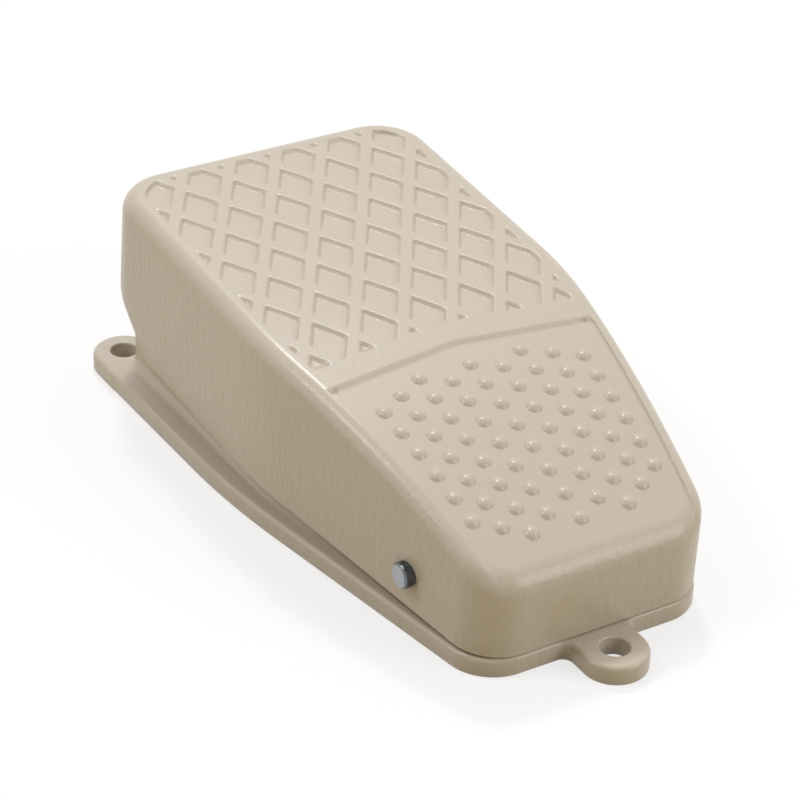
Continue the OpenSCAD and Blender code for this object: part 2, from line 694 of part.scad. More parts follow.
// ---- lever, plunger and blade of the switch
module switch_lever() {
  color(steel) translate([0, lever_y, lever_z]) rotate([lever_up, 0, 0]) difference() {
    union() {
      translate([-lever_w / 2, 0, -lever_t / 2]) cube([lever_w, lever_l, lever_t]);
      rod_x(-lever_w / 2, lever_w / 2, 2 * eye_r);
    }
    rod_x(-lever_w, lever_w, lever_pin_d + 2 * run_c);
  }
}
collar_z = case_z + case_h - case_t - 2;
plunger_top = lever_z + (plunger_y - lever_y) * tan(lever_up) - lever_t / 2 / cos(lever_up) - open_gap;
module switch_plunger() {
  r = plunger_d / 2;
  color("#e8e2d0") translate([0, plunger_y, 0]) rotate_extrude() polygon([[0, blade_z + 1.9],
    [r, blade_z + 1.9], [r, collar_z], [r + 1.2, collar_z], [r + 1.2, collar_z + 1],
    [r, collar_z + 1], [r, plunger_top - 0.6], [r - 0.7, plunger_top], [0, plunger_top]]);
}
module contact_blade() {
  color(brass) {
    translate([-blade_w / 2, blade_y, blade_z - blade_t / 2])
      cube([blade_w, contact_y + 2 - blade_y, blade_t]);
    translate([0, blade_y, blade_z]) rod_x(-blade_w / 2, blade_w / 2, 2 * roll_r);
    for (s = [-1, 1]) translate([s * button_x, contact_y, blade_z + s * (blade_t / 2 - 0.1)])
      rotate([s > 0 ? 0 : 180, 0, 0]) cylinder(button_h + 0.2, d = button_d);
  }
}

base_casting();
hinge_pin();
pin_clip();
return_spring();
stop_buffers();
switch_case();
switch_cover();
terminal_common();
terminal_no();
terminal_nc();
terminal_screws();
switch_bracket();
switch_screws();
switch_nuts();
bracket_screws();
lever_pin();
gland_seal();
gland_washer();
gland_screw();
cord_clamp();
clamp_screws();
earth_screw();
earth_washer();
treadle_casting();
adjusting_screw();
adjusting_nut();
switch_lever();
switch_plunger();
contact_blade();
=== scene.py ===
"""Die-cast foot switch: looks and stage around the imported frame.

Lengths in the formulas are millimetres in the treadle's closed place or the base's own place;
`to_mesh` turns them to metres. +Y is the wide toe end, +Z is up.
"""
import json
import math

import bmesh
import bpy
import numpy as np
from bpy.props import FloatProperty, FloatVectorProperty, PointerProperty
from mathutils import Matrix, Vector
from mathutils.geometry import tessellate_polygon


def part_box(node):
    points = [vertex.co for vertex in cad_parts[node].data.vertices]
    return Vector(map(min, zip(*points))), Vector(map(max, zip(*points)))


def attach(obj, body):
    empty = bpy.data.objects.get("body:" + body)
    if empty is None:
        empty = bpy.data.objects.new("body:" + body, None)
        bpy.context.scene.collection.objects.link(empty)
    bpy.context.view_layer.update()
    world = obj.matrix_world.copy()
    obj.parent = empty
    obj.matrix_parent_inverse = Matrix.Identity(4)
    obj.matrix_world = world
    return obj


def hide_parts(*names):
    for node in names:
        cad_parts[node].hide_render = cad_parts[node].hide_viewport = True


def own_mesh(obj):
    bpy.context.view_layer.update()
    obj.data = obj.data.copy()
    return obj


bl_info = {
    "name": "Foot switch",
    "version": (1, 0, 0),
    "blender": (4, 5, 0),
    "location": "View3D > Sidebar > Foot switch",
    "description": "Builds the castings, fasteners and stage of a die-cast foot switch",
    "category": "Object",
}

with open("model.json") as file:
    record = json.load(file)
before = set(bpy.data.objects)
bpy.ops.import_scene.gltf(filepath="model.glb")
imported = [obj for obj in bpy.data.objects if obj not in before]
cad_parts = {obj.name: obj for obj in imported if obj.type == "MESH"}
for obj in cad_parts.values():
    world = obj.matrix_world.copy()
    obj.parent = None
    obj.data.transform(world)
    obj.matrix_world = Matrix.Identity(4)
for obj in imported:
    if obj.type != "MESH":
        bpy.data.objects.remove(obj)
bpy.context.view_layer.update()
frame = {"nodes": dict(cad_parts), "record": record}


def linear(hex_colour):
    """sRGB hex to linear RGBA: c / 12.92 below 0.04045, else ((c + 0.055) / 1.055) ** 2.4."""
    c = np.array([int(hex_colour[i:i + 2], 16) for i in (1, 3, 5)]) / 255
    c = np.where(c <= 0.04045, c / 12.92, ((c + 0.055) / 1.055) ** 2.4)
    return (*c.tolist(), 1.0)


# ---------------------------------------------------------------- sizes and colours


class CastingSizes(bpy.types.PropertyGroup):
    pin_y: FloatProperty(
        name="Hinge Y", description="Hinge pin's place along the length, in mm", default=-51.0)
    pin_z: FloatProperty(
        name="Hinge Z", description="Hinge pin's height, in mm", default=16.0)
    rest_lift: FloatProperty(
        name="Rest lift", description="Angle by which the spring lifts the treadle",
        default=math.radians(3.9), subtype="ANGLE")
    edge_round: FloatProperty(
        name="Edge round", description="Radius of the treadle's upper edge, in mm", default=4.5, min=1.0)
    pocket_depth: FloatProperty(
        name="Pocket depth", description="Depth of the diamond pockets, in mm", default=0.9, min=0.1)
    panel_depth: FloatProperty(
        name="Panel depth", description="Depth of the heel panel, in mm", default=0.7, min=0.1)
    stud_rise: FloatProperty(
        name="Stud height", description="Height of a stud over the heel panel, in mm", default=0.95, min=0.2)
    stud_radius: FloatProperty(
        name="Stud radius", description="Radius of a stud at its foot, in mm", default=2.0, min=0.5)
    flange_round: FloatProperty(
        name="Flange round", description="Radius of the flange's edges, in mm", default=1.1, min=0.2)


class PaintColours(bpy.types.PropertyGroup):
    beige: FloatVectorProperty(
        name="Paint", description="Baked paint of both castings", subtype="COLOR", size=4,
        default=linear("#C8BDAD"))
    zinc: FloatVectorProperty(
        name="Zinc", description="Bright zinc plate", subtype="COLOR", size=4,
        default=linear("#C9CCD0"))


# ---------------------------------------------------------------- meshes


def joined(parts):
    """Points, turned from mm to metres, and faces of all the (points, faces) parts."""
    points, faces, base = [], [], 0
    for pts, polys in parts:
        pts = np.asarray(pts, float).reshape(-1, 3)
        points.append(pts)
        faces += [tuple(int(i) + base for i in f) for f in polys]
        base += len(pts)
    return (np.concatenate(points) / 1000).tolist(), faces


def to_mesh(name, parts, material, body, slot, *nodes):
    """One object from (points in mm, faces) parts, at the origin, riding a body."""
    points, faces = joined(parts)
    mesh = bpy.data.meshes.new(name)
    mesh.from_pydata(points, [], faces)
    mesh.validate()
    mesh.materials.append(material)
    mesh.polygons.foreach_set("use_smooth", np.full(len(mesh.polygons), True))
    piece = bpy.data.objects.new(name, mesh)
    bpy.context.scene.collection.objects.link(piece)
    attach(piece, body)
    if nodes:
        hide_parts(*nodes)
    return piece


def merge(piece, distance=2e-6):
    """Joins points that lie together and turns the faces outwards."""
    bm = bmesh.new()
    bm.from_mesh(piece.data)
    bmesh.ops.remove_doubles(bm, verts=bm.verts, dist=distance)
    bmesh.ops.recalc_face_normals(bm, faces=bm.faces)
    bm.to_mesh(piece.data)
    bm.free()
    return piece


def drilled(piece, parts):
    """Piece with its overlapping closed forms made one, less the closed bores."""
    mesh = bpy.data.meshes.new("cutter")
    points, faces = joined(parts)
    mesh.from_pydata(points, [], faces)
    tool = bpy.data.objects.new("cutter", mesh)
    bpy.context.scene.collection.objects.link(tool)
    merge(tool)
    step = piece.modifiers.new("bores", "BOOLEAN")
    step.operation, step.object, step.solver, step.use_self = "DIFFERENCE", tool, "EXACT", True
    done = bpy.data.meshes.new_from_object(piece.evaluated_get(bpy.context.evaluated_depsgraph_get()))
    piece.modifiers.clear()
    piece.data = done
    bpy.data.objects.remove(tool)
    return piece


def tilted(angle):
    """Turn about X by this angle, as a 3 x 3 matrix."""
    c, s = math.cos(angle), math.sin(angle)
    return np.array([[1, 0, 0], [0, c, -s], [0, s, c]])


def block(low, high):
    """Box between two corners, as the eight combinations of their coordinates."""
    x, y, z = zip(low, high)
    pts = np.stack(np.meshgrid(x, y, z, indexing="ij"), -1).reshape(-1, 3)
    return pts, [(0, 1, 3, 2), (4, 6, 7, 5), (0, 4, 5, 1), (2, 3, 7, 6), (0, 2, 6, 4), (1, 5, 7, 3)]


def loft_faces(rings, count):
    """Quads between stacked closed rings of `count` points: (j, i), (j, i+1), (j+1, i+1), (j+1, i)."""
    j, i = np.meshgrid(np.arange(rings - 1), np.arange(count), indexing="ij")
    a, b = j * count + i, j * count + (i + 1) % count
    return np.stack([a, b, b + count, a + count], -1).reshape(-1, 4)


def turned(profile, centre, axis="z", sides=48):
    """Profile of (radius, height) turned about an axis: (r cos a, r sin a, h); its ends are capped."""
    p = np.asarray(profile, float)
    a = np.linspace(0, 2 * np.pi, sides, endpoint=False)
    x = p[:, :1] * np.cos(a)
    y = p[:, :1] * np.sin(a)
    z = np.repeat(p[:, 1:], sides, axis=1)
    pts = np.stack([x, y, z], -1).reshape(-1, 3)
    if axis == "x":
        pts = pts[:, [2, 0, 1]]
    elif axis == "y":
        pts = pts[:, [1, 2, 0]]
    faces = [tuple(f) for f in loft_faces(len(p), sides)]
    faces += [tuple(range(sides))[::-1], tuple((len(p) - 1) * sides + k for k in range(sides))]
    return pts + np.asarray(centre, float), faces


# ---------------------------------------------------------------- treadle outline

# the side narrows by 0.154 mm for each mm from the bend to the heel
SIDE_SLOPE = 0.154
TOE_Y, HEEL_Y, HALF_W = 87.6, -77.2, 43.0
HEEL_HALF = 30.25
BEND_Y = HEEL_Y + (HALF_W - HEEL_HALF) / SIDE_SLOPE
TOP_Z, CROWN_Y, CROWN_R = 45.1, 17.0, 262.0


def crown(y):
    """Closed treadle's top: level for y > 17, then an arc of radius 262 down to the heel."""
    d = np.maximum(CROWN_Y - y, 0)
    return TOP_Z - CROWN_R + np.sqrt(CROWN_R ** 2 - d ** 2)


def corner_arc(vertex, n1, n2, radius):
    """Arc in the corner between edges with outward normals n1 and n2: centre, start and end angle."""
    vertex, n1, n2 = map(np.asarray, (vertex, n1, n2))
    centre = vertex - radius * (n1 + n2) / (1 + n1 @ n2)
    return centre, math.atan2(n1[1], n1[0]), math.atan2(n2[1], n2[0])


def side_normal(a, b):
    """Normal to the right of the way from a to b."""
    d = np.asarray(b, float) - np.asarray(a, float)
    d = d / np.linalg.norm(d)
    return np.array([d[1], -d[0]])


# points on a loop's heel edge, on each of its three round corners, and on its long edges
HEEL_STEPS, CORNER_STEPS, EDGE_STEPS = 8, (14, 8, 14), 24


class Outline:
    """Right half of a mirror-symmetric outline, from its heel edge round to its toe edge.

    Between them lie the heel corner, the tapered side, the bend, the side and the toe corner.
    """

    def __init__(self, heel_y, heel_half, bend, toe, r_heel, r_bend, r_toe):
        v = (heel_half, heel_y)
        n0, n3 = np.array([0, -1.0]), np.array([0, 1.0])
        n1, n2 = side_normal(v, bend), side_normal(bend, toe)
        self.arcs = [(*corner_arc(v, n0, n1, r_heel), r_heel),
                     (*corner_arc(bend, n1, n2, r_bend), r_bend),
                     (*corner_arc(toe, n2, n3, r_toe), r_toe)]
        self.heel_y, self.toe_y = heel_y, toe[1]

    def at_y(self, y, inset):
        """Side's X and outward normal at places along Y, for the outline moved in by `inset`."""
        y = np.asarray(y, float)
        x = np.zeros_like(y)
        n = np.zeros(y.shape + (2,))
        ends = []
        for c, s, e, r in self.arcs:
            ends += [c[1] + (r - inset) * math.sin(s), c[1] + (r - inset) * math.sin(e)]
        for (c, s, e, r), lo, hi in zip(self.arcs, ends[::2], ends[1::2]):
            m = (y >= lo - 1e-6) & (y <= hi + 1e-6)
            sn = np.clip((y - c[1]) / (r - inset), -1, 1)
            cs = np.sqrt(1 - sn ** 2)
            x = np.where(m, c[0] + (r - inset) * cs, x)
            n[m] = np.stack([cs, sn], -1)[m]
        for (c, s, e, r), lo, hi in zip(self.arcs, ends[1:-1:2], ends[2::2]):
            m = (y > lo + 1e-6) & (y < hi - 1e-6)
            nn = np.array([math.cos(e), math.sin(e)])
            p = c + (r - inset) * nn
            x = np.where(m, p[0] - (y - p[1]) * nn[1] / nn[0], x)
            n[m] = nn
        return x, n

    def loop(self):
        """Closed loop of points and outward normals, counter-clockwise from the heel's middle."""
        pts, nrm = [], []
        first = self.arcs[0][0][0]
        for x in np.linspace(0, first, HEEL_STEPS)[:-1]:
            pts.append([[x, self.heel_y]])
            nrm.append([[0.0, -1.0]])
        previous = None
        for (c, s, e, r), k in zip(self.arcs, CORNER_STEPS):
            a = np.linspace(s, e, k)
            nn = np.stack([np.cos(a), np.sin(a)], -1)
            p = c + r * nn
            if previous is not None:
                t = np.linspace(0, 1, EDGE_STEPS + 2)[1:-1, None]
                pts.append(previous + (p[0] - previous) * t)
                nrm.append(np.repeat(nn[:1], EDGE_STEPS, 0))
            pts.append(p)
            nrm.append(nn)
            previous = p[-1]
        for x in np.linspace(previous[0], 0, EDGE_STEPS)[1:]:
            pts.append([[x, self.toe_y]])
            nrm.append([[0.0, 1.0]])
        p, n = np.concatenate(pts), np.concatenate(nrm)
        p = np.concatenate([p, (p * [-1, 1])[-2:0:-1]])
        n = np.concatenate([n, (n * [-1, 1])[-2:0:-1]])
        return p, n


TREADLE = Outline(HEEL_Y, HEEL_HALF, (HALF_W, BEND_Y), (HALF_W, TOE_Y), r_heel=12, r_bend=150, r_toe=14)
HOUSING = Outline(HEEL_Y, HEEL_HALF, (HALF_W, BEND_Y), (HALF_W, 83.4), r_heel=12, r_bend=150, r_toe=8)
PLATE = Outline(-76.8, 30.7, (46.1, 14.3), (47.2, 81.0), r_heel=12, r_bend=250, r_toe=6)


def outline_depth(outline, x, y):
    """Distance inward from the outline, for points inside it: the least of all its edges and arcs."""
    x = np.abs(x)
    depth = np.minimum(y - outline.heel_y, outline.toe_y - y)
    for c, s, e, r in outline.arcs[:2]:
        n = np.array([math.cos(e), math.sin(e)])
        depth = np.minimum(depth, r - ((x - c[0]) * n[0] + (y - c[1]) * n[1]))
    for c, s, e, r in outline.arcs:
        a = np.arctan2(y - c[1], x - c[0])
        inside = (a >= s) & (a <= e)
        depth = np.where(inside, np.minimum(depth, r - np.hypot(x - c[0], y - c[1])), depth)
    return depth


def smooth_step(t):
    """3 t^2 - 2 t^3 on 0..1."""
    t = np.clip(t, 0, 1)
    return t * t * (3 - 2 * t)


# half diagonals of the diamond lattice, and the place of one of its knots
LATTICE_X, LATTICE_Y, LATTICE_Y0 = 6.7, 10.82, 1.3
# grid steps in a half diagonal, and a pocket's share of its cell
LATTICE_CELLS = 18
POCKET_SHARE = 13 / LATTICE_CELLS
CHEVRON_Y, CHEVRON_SLOPE = -10.5, 0.118
RIM_W, POCKET_MARGIN, CHEVRON_MARGIN, POCKET_CORNER = 3.9, 5.8, 8.0, 0.5
# widths of the sloped walls of the pockets, the chevron edge and the side rims
POCKET_WALL, CHEVRON_WALL, RIM_WALL = 0.5, 0.55, 0.35
# from the top's grid out to the skirt, the skirt's draft and thickness, and the roof's thickness
EDGE_BAND, DRAFT, SKIRT_T, ROOF_T = 4.7, 0.4, 2.2, 3.2


def taper_x(y):
    """Half width of the tapered side's straight line."""
    return HALF_W - (BEND_Y - y) * SIDE_SLOPE


def wall_step(inside, width):
    """0 outside to 1 inside a recess, over a wall of this width set 0.35 of it outwards."""
    return smooth_step((inside + width * 0.35) / width)


def panel_relief(x, y, sizes):
    """Depth of the heel panel: below the chevron and between the two side rims."""
    below = (CHEVRON_Y - CHEVRON_SLOPE * np.abs(x) - y) / math.hypot(1, CHEVRON_SLOPE)
    side = (taper_x(y) - RIM_W - np.abs(x)) / math.hypot(1, SIDE_SLOPE)
    return sizes.panel_depth * wall_step(below, CHEVRON_WALL) * wall_step(side, RIM_WALL)


def cell_place(x, y):
    """Place in the lattice cell that holds each point, -1 to 1 across both pairs of pocket walls."""
    u, v = x / LATTICE_X, (y - LATTICE_Y0) / LATTICE_Y
    p, q = v + u, v - u
    return p - 2 * np.round(p / 2), q - 2 * np.round(q / 2)


def tread_relief(x, y, sizes):
    """Depth below the crown: diamond pockets |u| + |v| < 0.72 in lattice cells, and the heel panel.

    Each wall is a smooth step about as wide as its depth, as a coat of paint leaves it.
    """
    p, q = cell_place(x, y)
    unit = LATTICE_X * LATTICE_Y / math.hypot(LATTICE_X, LATTICE_Y)
    ap, aq = (POCKET_SHARE - np.abs(p)) * unit, (POCKET_SHARE - np.abs(q)) * unit
    # the lesser of the two, rounded where they are close: k ap + (1 - k) aq - c k (1 - k) / 2
    k = np.clip(0.5 + 0.5 * (ap - aq) / POCKET_CORNER, 0, 1)
    cell = ap * (1 - k) + aq * k - POCKET_CORNER * k * (1 - k) * 0.5
    chevron = CHEVRON_Y + CHEVRON_MARGIN - CHEVRON_SLOPE * np.abs(x)
    zone = np.minimum(outline_depth(TREADLE, x, y) - POCKET_MARGIN,
                      (y - chevron) / math.hypot(1, CHEVRON_SLOPE))
    pocket = sizes.pocket_depth * wall_step(np.minimum(cell, zone), POCKET_WALL)
    return np.maximum(pocket, panel_relief(x, y, sizes))


def grid_rows():
    """Row places along Y: lattice steps of 10.82 / 18, closer where the toe and heel corners turn."""
    step = LATTICE_Y / LATTICE_CELLS
    (heel, _, _, heel_r), _, (toe, _, _, toe_r) = TREADLE.arcs
    lo, hi = HEEL_Y + EDGE_BAND, TOE_Y - EDGE_BAND
    first = math.ceil((lo + 0.5 - LATTICE_Y0) / step)
    last = math.floor((hi - 0.5 - LATTICE_Y0) / step)
    rows = LATTICE_Y0 + step * np.arange(first, last + 1)
    turn = np.sin(np.radians([71, 75, 78, 81, 83.5, 86, 88]))
    extra_hi = toe[1] + (toe_r - EDGE_BAND) * turn
    extra_lo = heel[1] - (heel_r - EDGE_BAND) * turn
    rows = rows[(rows < extra_hi[0] - 0.15) & (rows > extra_lo[0] + 0.15)]
    return np.concatenate([[lo], extra_lo[::-1], rows, extra_hi, [hi]])


def tread_grid():
    """Grid points of the tread, rows from heel to toe, and the outward normal at each row's right end.

    Columns sit on the lattice (6.7 / 18) in the middle and are squeezed to the rim outside,
    x = a + (x0 - a) (w(y) - a) / (w0 - a). Rows bend to the panel's chevron edge and come back to
    the lattice above it.
    """
    y = grid_rows()
    w, nrm = TREADLE.at_y(y, EDGE_BAND)
    w[0], w[-1] = TREADLE.arcs[0][0][0], TREADLE.arcs[2][0][0]
    nrm[0], nrm[-1] = (0, -1), (0, 1)
    w = w[:, None]
    step, w0 = LATTICE_X / LATTICE_CELLS, HALF_W - EDGE_BAND
    cols = np.arange(0, math.floor((w0 - 0.25) / step) + 1) * step
    cols = np.append(cols, w0)[None]
    fixed = np.clip(np.minimum(26, w - 6), 8, None)
    half = np.where(cols <= fixed, cols, fixed + (cols - fixed) * (w - fixed) / (w0 - fixed))
    x = np.concatenate([-half[:, :0:-1], half], axis=1)
    y = np.repeat(y[:, None], x.shape[1], 1)
    reach = np.clip((y - CHEVRON_Y) / 9, -4, 1)
    sag = np.where(y >= CHEVRON_Y, smooth_step(1 - reach), smooth_step(1 + (y - CHEVRON_Y) / 34))
    bent = y - CHEVRON_SLOPE * np.abs(x) * sag * (np.abs(x) < w - 0.01)
    edge = smooth_step((w - np.abs(x)) / 3.0)
    return x, y + (bent - y) * edge, nrm


def cut_quads(x, y, index):
    """Triangles of the tread's grid: each quad is cut along the pocket wall that crosses it."""
    a, b, c, d = index[:-1, :-1], index[:-1, 1:], index[1:, 1:], index[1:, :-1]
    p, q = cell_place((x[:-1, :-1] + x[1:, 1:]) / 2, (y[:-1, :-1] + y[1:, 1:]) / 2)
    rising = (np.abs(q) > np.abs(p))[..., None]
    first = np.where(rising, np.stack([a, b, c], -1), np.stack([a, b, d], -1))
    second = np.where(rising, np.stack([a, c, d], -1), np.stack([b, c, d], -1))
    return [tuple(f) for f in np.concatenate([first.reshape(-1, 3), second.reshape(-1, 3)]).tolist()]


# how far out from the tread's grid each ring of the edge round lies
EDGE_OUT = (0.3, 0.5, 0.65, 0.8, 0.95, 1.1, 1.3, 1.7, 2.2, 2.7, 3.2, 3.7, 4.1, 4.4, 4.6, EDGE_BAND)
LIP_R = 0.5


def skirt_rings(rim, n, sizes):
    """Rings from the grid's rim over the edge round, down the skirt, round its lip and up inside."""
    r, foot = sizes.edge_round, EDGE_BAND + DRAFT
    low = rim_low(rim[:, 1] + n[:, 1] * EDGE_BAND)
    rings = []
    for out in EDGE_OUT:
        t = math.asin((out - EDGE_BAND + r) / r)
        pos = rim[:, :2] + n * out
        drop, cut = r * (1 - math.cos(t)), panel_relief(pos[:, 0], pos[:, 1], sizes)
        rings.append(np.column_stack([pos, crown(pos[:, 1]) - drop - cut]))
    high = rings[-1][:, 2]
    for f in (0.25, 0.5, 0.75):
        pos = rim[:, :2] + n * (EDGE_BAND + DRAFT * f)
        rings.append(np.column_stack([pos, high + (low + LIP_R - high) * f]))
    for t in np.radians([0, 30, 60, 90]):
        pos = rim[:, :2] + n * (foot - LIP_R * (1 - math.cos(t)))
        rings.append(np.column_stack([pos, low + LIP_R * (1 - math.sin(t))]))
    for rise in (0.0, 0.05):
        rings.append(np.column_stack([rim[:, :2] + n * (foot - SKIRT_T), low + rise]))
    for depth, drop in ((2.3, ROOF_T + 1.0), (3.2, ROOF_T)):
        pos = rim[:, :2] + n * (foot - depth)
        rings.append(np.column_stack([pos, crown(pos[:, 1]) - drop]))
    return rings


def roof_faces(last, rows, columns, count):
    """The hollow's roof, in strips across the width between the points of the last ring."""
    toe = last + columns - 1 + rows - 1
    right = last + columns - 1 + np.arange(rows)
    left = last + (count - np.arange(rows)) % count
    left[-1] = toe + columns - 1
    strips = np.stack([left[1:-2], right[1:-2], right[2:-1], left[2:-1]], -1)
    faces = [tuple(f[::-1]) for f in strips.tolist()]
    faces.append(tuple([left[1], *range(last, last + columns), right[1]])[::-1])
    faces.append(tuple([right[-2], *range(toe, toe + columns), left[-2]])[::-1])
    return faces


def treadle_shell(sizes):
    """Closed shell: relief grid on top, quarter-round edge, drafted skirt, and the hollow's faces."""
    x, y, nrm = tread_grid()
    rows, columns = x.shape
    top = np.stack([x, y, crown(y) - tread_relief(x, y, sizes)], -1).reshape(-1, 3)
    index = np.arange(rows * columns).reshape(rows, columns)
    faces = cut_quads(x, y, index)
    # rim in order: heel row to the right, right side, toe row to the left, left side
    rim = np.concatenate([index[0, :], index[1:, -1], index[-1, -2::-1], index[-2:0:-1, 0]])
    n = np.concatenate([np.tile([0.0, -1.0], (columns, 1)), nrm[1:],
                        np.tile([0.0, 1.0], (columns - 1, 1)), (nrm * [-1, 1])[-2:0:-1]])
    rings = skirt_rings(top[rim], n, sizes)
    count, start = len(rim), rows * columns
    k = np.arange(count)
    link = np.stack([rim, np.roll(rim, -1), start + (k + 1) % count, start + k], -1)
    walls = np.concatenate([link, loft_faces(len(rings), count) + start])
    faces += [tuple(f[::-1]) for f in walls.tolist()]
    faces += roof_faces(start + (len(rings) - 1) * count, rows, columns, count)
    return np.concatenate([top, *rings]), faces


def rim_low(y):
    """Skirt's lower edge: 7 mm at the heel, 1.1 mm lower past the bend, up to 17.8 mm at y = 77.8."""
    return 7.0 - 1.1 * smooth_step((y + 35) / 75) + 11.9 * np.clip((y - 62.8) / 15, 0, 1)


STUD_PITCH, STUD_Y0, STUD_FOOT = 6.9, -18.1, 0.45


def stud_profile(radius, rise):
    """Sphere cap, then a fillet that runs out level into the panel, as (radius, height) from below."""
    ball = (radius * radius + rise * rise) / (2 * rise)
    a_end = math.asin(radius / ball) * 0.8
    t = np.linspace(0.0, a_end, 6)[1:]
    dome = np.stack([ball * np.sin(t), rise - ball * (1 - np.cos(t))], -1)
    foot_r, foot_z = dome[-1]
    s = np.linspace(0, 1, 5)[1:]
    slope = -math.tan(a_end)
    fall = foot_z * (2 * s ** 3 - 3 * s ** 2 + 1) + slope * STUD_FOOT * (s ** 3 - 2 * s ** 2 + s)
    foot = np.stack([foot_r + STUD_FOOT * s, fall - 0.03 * s], -1)
    return np.concatenate([dome, foot, [[foot_r + STUD_FOOT, -0.6]]])[::-1]


def studs(sizes):
    """Nine columns of eight, seven or six studs that lean with the crown."""
    profile = stud_profile(sizes.stud_radius, sizes.stud_rise)
    parts = []
    for c in range(-4, 5):
        for k in range(8):
            row = k + (0.5 if c % 2 else 0)
            if (1 <= k <= 6) if abs(c) == 4 else row <= 7:
                y = STUD_Y0 - STUD_PITCH * row
                x = c * STUD_PITCH * (1 - 0.005 * abs(c) * row)
                pts, faces = turned(profile, (0, 0, 0), sides=20)
                spin = tilted(math.asin((CROWN_Y - y) / CROWN_R))
                foot = [x, y, float(crown(np.array(y))) - sizes.panel_depth]
                parts.append((pts @ spin.T + foot, faces))
    return parts


SPRING_Y = 52.0


def under_roof_parts(sizes):
    """Spring cup, screw boss and buffer bosses under the roof, each a closed turned form.

    A point at (y, z) in the lifted place stands at pin + R(-lift) ((y, z) - pin) in the closed place.
    """
    roof, lift = TOP_Z - ROOF_T, sizes.rest_lift
    slope, level = math.tan(lift), math.cos(lift)

    def ceiling(y):
        return sizes.pin_z + (y - sizes.pin_y) * slope + (roof - sizes.pin_z) / level

    def closed_y(y, z):
        return sizes.pin_y + (y - sizes.pin_y) * level + (z - sizes.pin_z) * math.sin(lift)

    shift = (ceiling(SPRING_Y) - sizes.pin_z) * math.sin(lift) / 2
    cup_y = closed_y(SPRING_Y - shift, ceiling(SPRING_Y))
    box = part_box("adjusting_screw")
    screw_y, screw_z = ((box[0][k] + box[1][k]) * 500 for k in (1, 2))
    tip_y = closed_y(screw_y, screw_z)
    cup = [(0, roof + 0.4), (12.5, roof + 0.4), (12.5, roof - 3.7), (12.2, roof - 4.0), (10.8, roof - 4.0),
           (10.5, roof - 3.7), (10.5, roof - 0.05), (0, roof - 0.05)]
    boss = [(0, roof + 0.4), (6, roof + 0.4), (6, roof - 5.6), (5.6, roof - 6.0), (0, roof - 6.0)]
    buffer = [(0, roof + 0.4), (4.5, roof + 0.4), (3.5, 22.8), (3.2, 22.5), (0, 22.5)]
    places = [(cup, (0, cup_y, 0)), (boss, (0, tip_y, 0))]
    places += [(buffer, (s * 26.0, 67.8, 0)) for s in (-1, 1)]
    return [turned(profile[::-1], place) for profile, place in places]


def lifted(parts, sizes):
    """Closed treadle points turned about the hinge pin by the rest lift."""
    spin = tilted(sizes.rest_lift)
    pin = np.array([0, sizes.pin_y, sizes.pin_z])
    return [((np.asarray(p) - pin) @ spin.T + pin, f) for p, f in parts]


# ---------------------------------------------------------------- base

# mounting holes, in the flange's three ears
HOLES = [(0, -83.8), (39.4, 83.8), (-39.4, 83.8)]
EAR_R, EAR_FILLET, HOLE_R, HOLE_CHAMFER, HOLE_ROUND = 8, 2.4, 3.5, 0.3, 0.5
FLANGE_T, HOUSING_INSET = 5.0, 3.4
# rounded rim and inner foot of the housing wall, as (distance in from its outer face, height)
WALL_RIM = ((0, 21.3), (0.2, 21.8), (0.7, 22.0), (2.3, 22.0), (2.8, 21.8), (3.0, 21.3),
            (3.0, 5.0), (4.0, 4.0))
WALL_END_Y, INLET_Y, INLET_Z = 80.0, 84.0, 9.5
# posts cast on the floor, as (x, y, radius, top): earth screw, stop buffers and cord clamp
POSTS = [(25.0, 30.0, 4.5, 8.0), (-26.0, 66.0, 6.5, 16.0), (26.0, 66.0, 6.5, 16.0),
         (-10.0, 69.5, 4.0, 8.0), (10.0, 69.5, 4.0, 8.0)]
BRACKET_POSTS_Y = (-24.2, 1.2)


def arc_points(centre, radius, a0, a1, steps):
    """Arc points and their outward normals; a negative radius is a hollow corner."""
    a = np.radians(np.linspace(a0, a1, steps))
    n = np.stack([np.cos(a), np.sin(a)], -1)
    return np.asarray(centre) + abs(radius) * n, n if radius > 0 else -n


def line_points(a, b, steps=8):
    """Points between a and b, without either, and their outward normals."""
    t = np.linspace(0, 1, steps + 2)[1:-1, None]
    p = np.asarray(a) + (np.asarray(b) - np.asarray(a)) * t
    return p, np.repeat(side_normal(a, b)[None], steps, 0)


